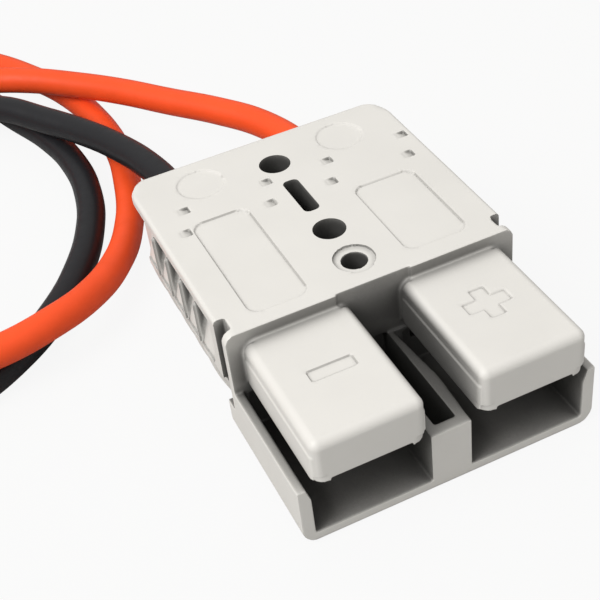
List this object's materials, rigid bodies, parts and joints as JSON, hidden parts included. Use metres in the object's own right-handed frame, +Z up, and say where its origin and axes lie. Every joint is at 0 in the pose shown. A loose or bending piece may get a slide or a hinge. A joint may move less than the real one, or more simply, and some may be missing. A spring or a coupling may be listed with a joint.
{
  "type": "two-pole cable connector",
  "caption": "Genderless two-pole power connector with hooded sprung contacts and a loose loop of two cables ending in ring terminals.",
  "frame": {"origin": "on the bottom face, in the plane of the mating face and midway between the poles", "axes": "+Z up from the bottom face, -Y out of the mating face, +Y towards the cables, +X towards the positive pole"},
  "size_m": [0.0931, 0.1312, 0.0165],
  "materials": {
    "housing_plastic": "fine matt moulding, warm light grey",
    "plated_contact": "silver plated",
    "spring_steel": "spring steel",
    "strands": "bare stranded copper",
    "black_insulation": "satin",
    "red_insulation": "satin orange-red",
    "shrink_sleeve_black": "satin",
    "shrink_sleeve_red": "satin",
    "tinned_terminal": "tinned copper"
  },
  "bodies": {
    "housing": {"housing": "housing_plastic", "leaf_spring_negative": "spring_steel", "leaf_spring_positive": "spring_steel", "cable_negative": "black_insulation", "cable_positive": "red_insulation", "sleeve_negative": "shrink_sleeve_black", "sleeve_positive": "shrink_sleeve_red", "ring_terminal_negative": "tinned_terminal", "ring_terminal_positive": "tinned_terminal", "strand_end_negative": "strands", "strand_end_positive": "strands"},
    "contact_negative": {"contact_negative": "plated_contact", "conductor_negative": "strands"},
    "contact_positive": {"contact_positive": "plated_contact", "conductor_positive": "strands"}
  },
  "joints": [
    {"name": "negative_contact_float", "type": "hinge", "parent": "housing", "child": "contact_negative", "pos_m": [-0.0094, 0.0189, 0.00825], "axis": [-1, 0, 0], "range_deg": [0, 1.6], "stiffness_Nm_per_rad": 0.6, "deforming": ["leaf_spring_negative"]},
    {"name": "positive_contact_float", "type": "hinge", "parent": "housing", "child": "contact_positive", "pos_m": [0.0094, 0.0189, 0.00825], "axis": [-1, 0, 0], "range_deg": [0, 1.6], "stiffness_Nm_per_rad": 0.6, "deforming": ["leaf_spring_positive"]}
  ]
}
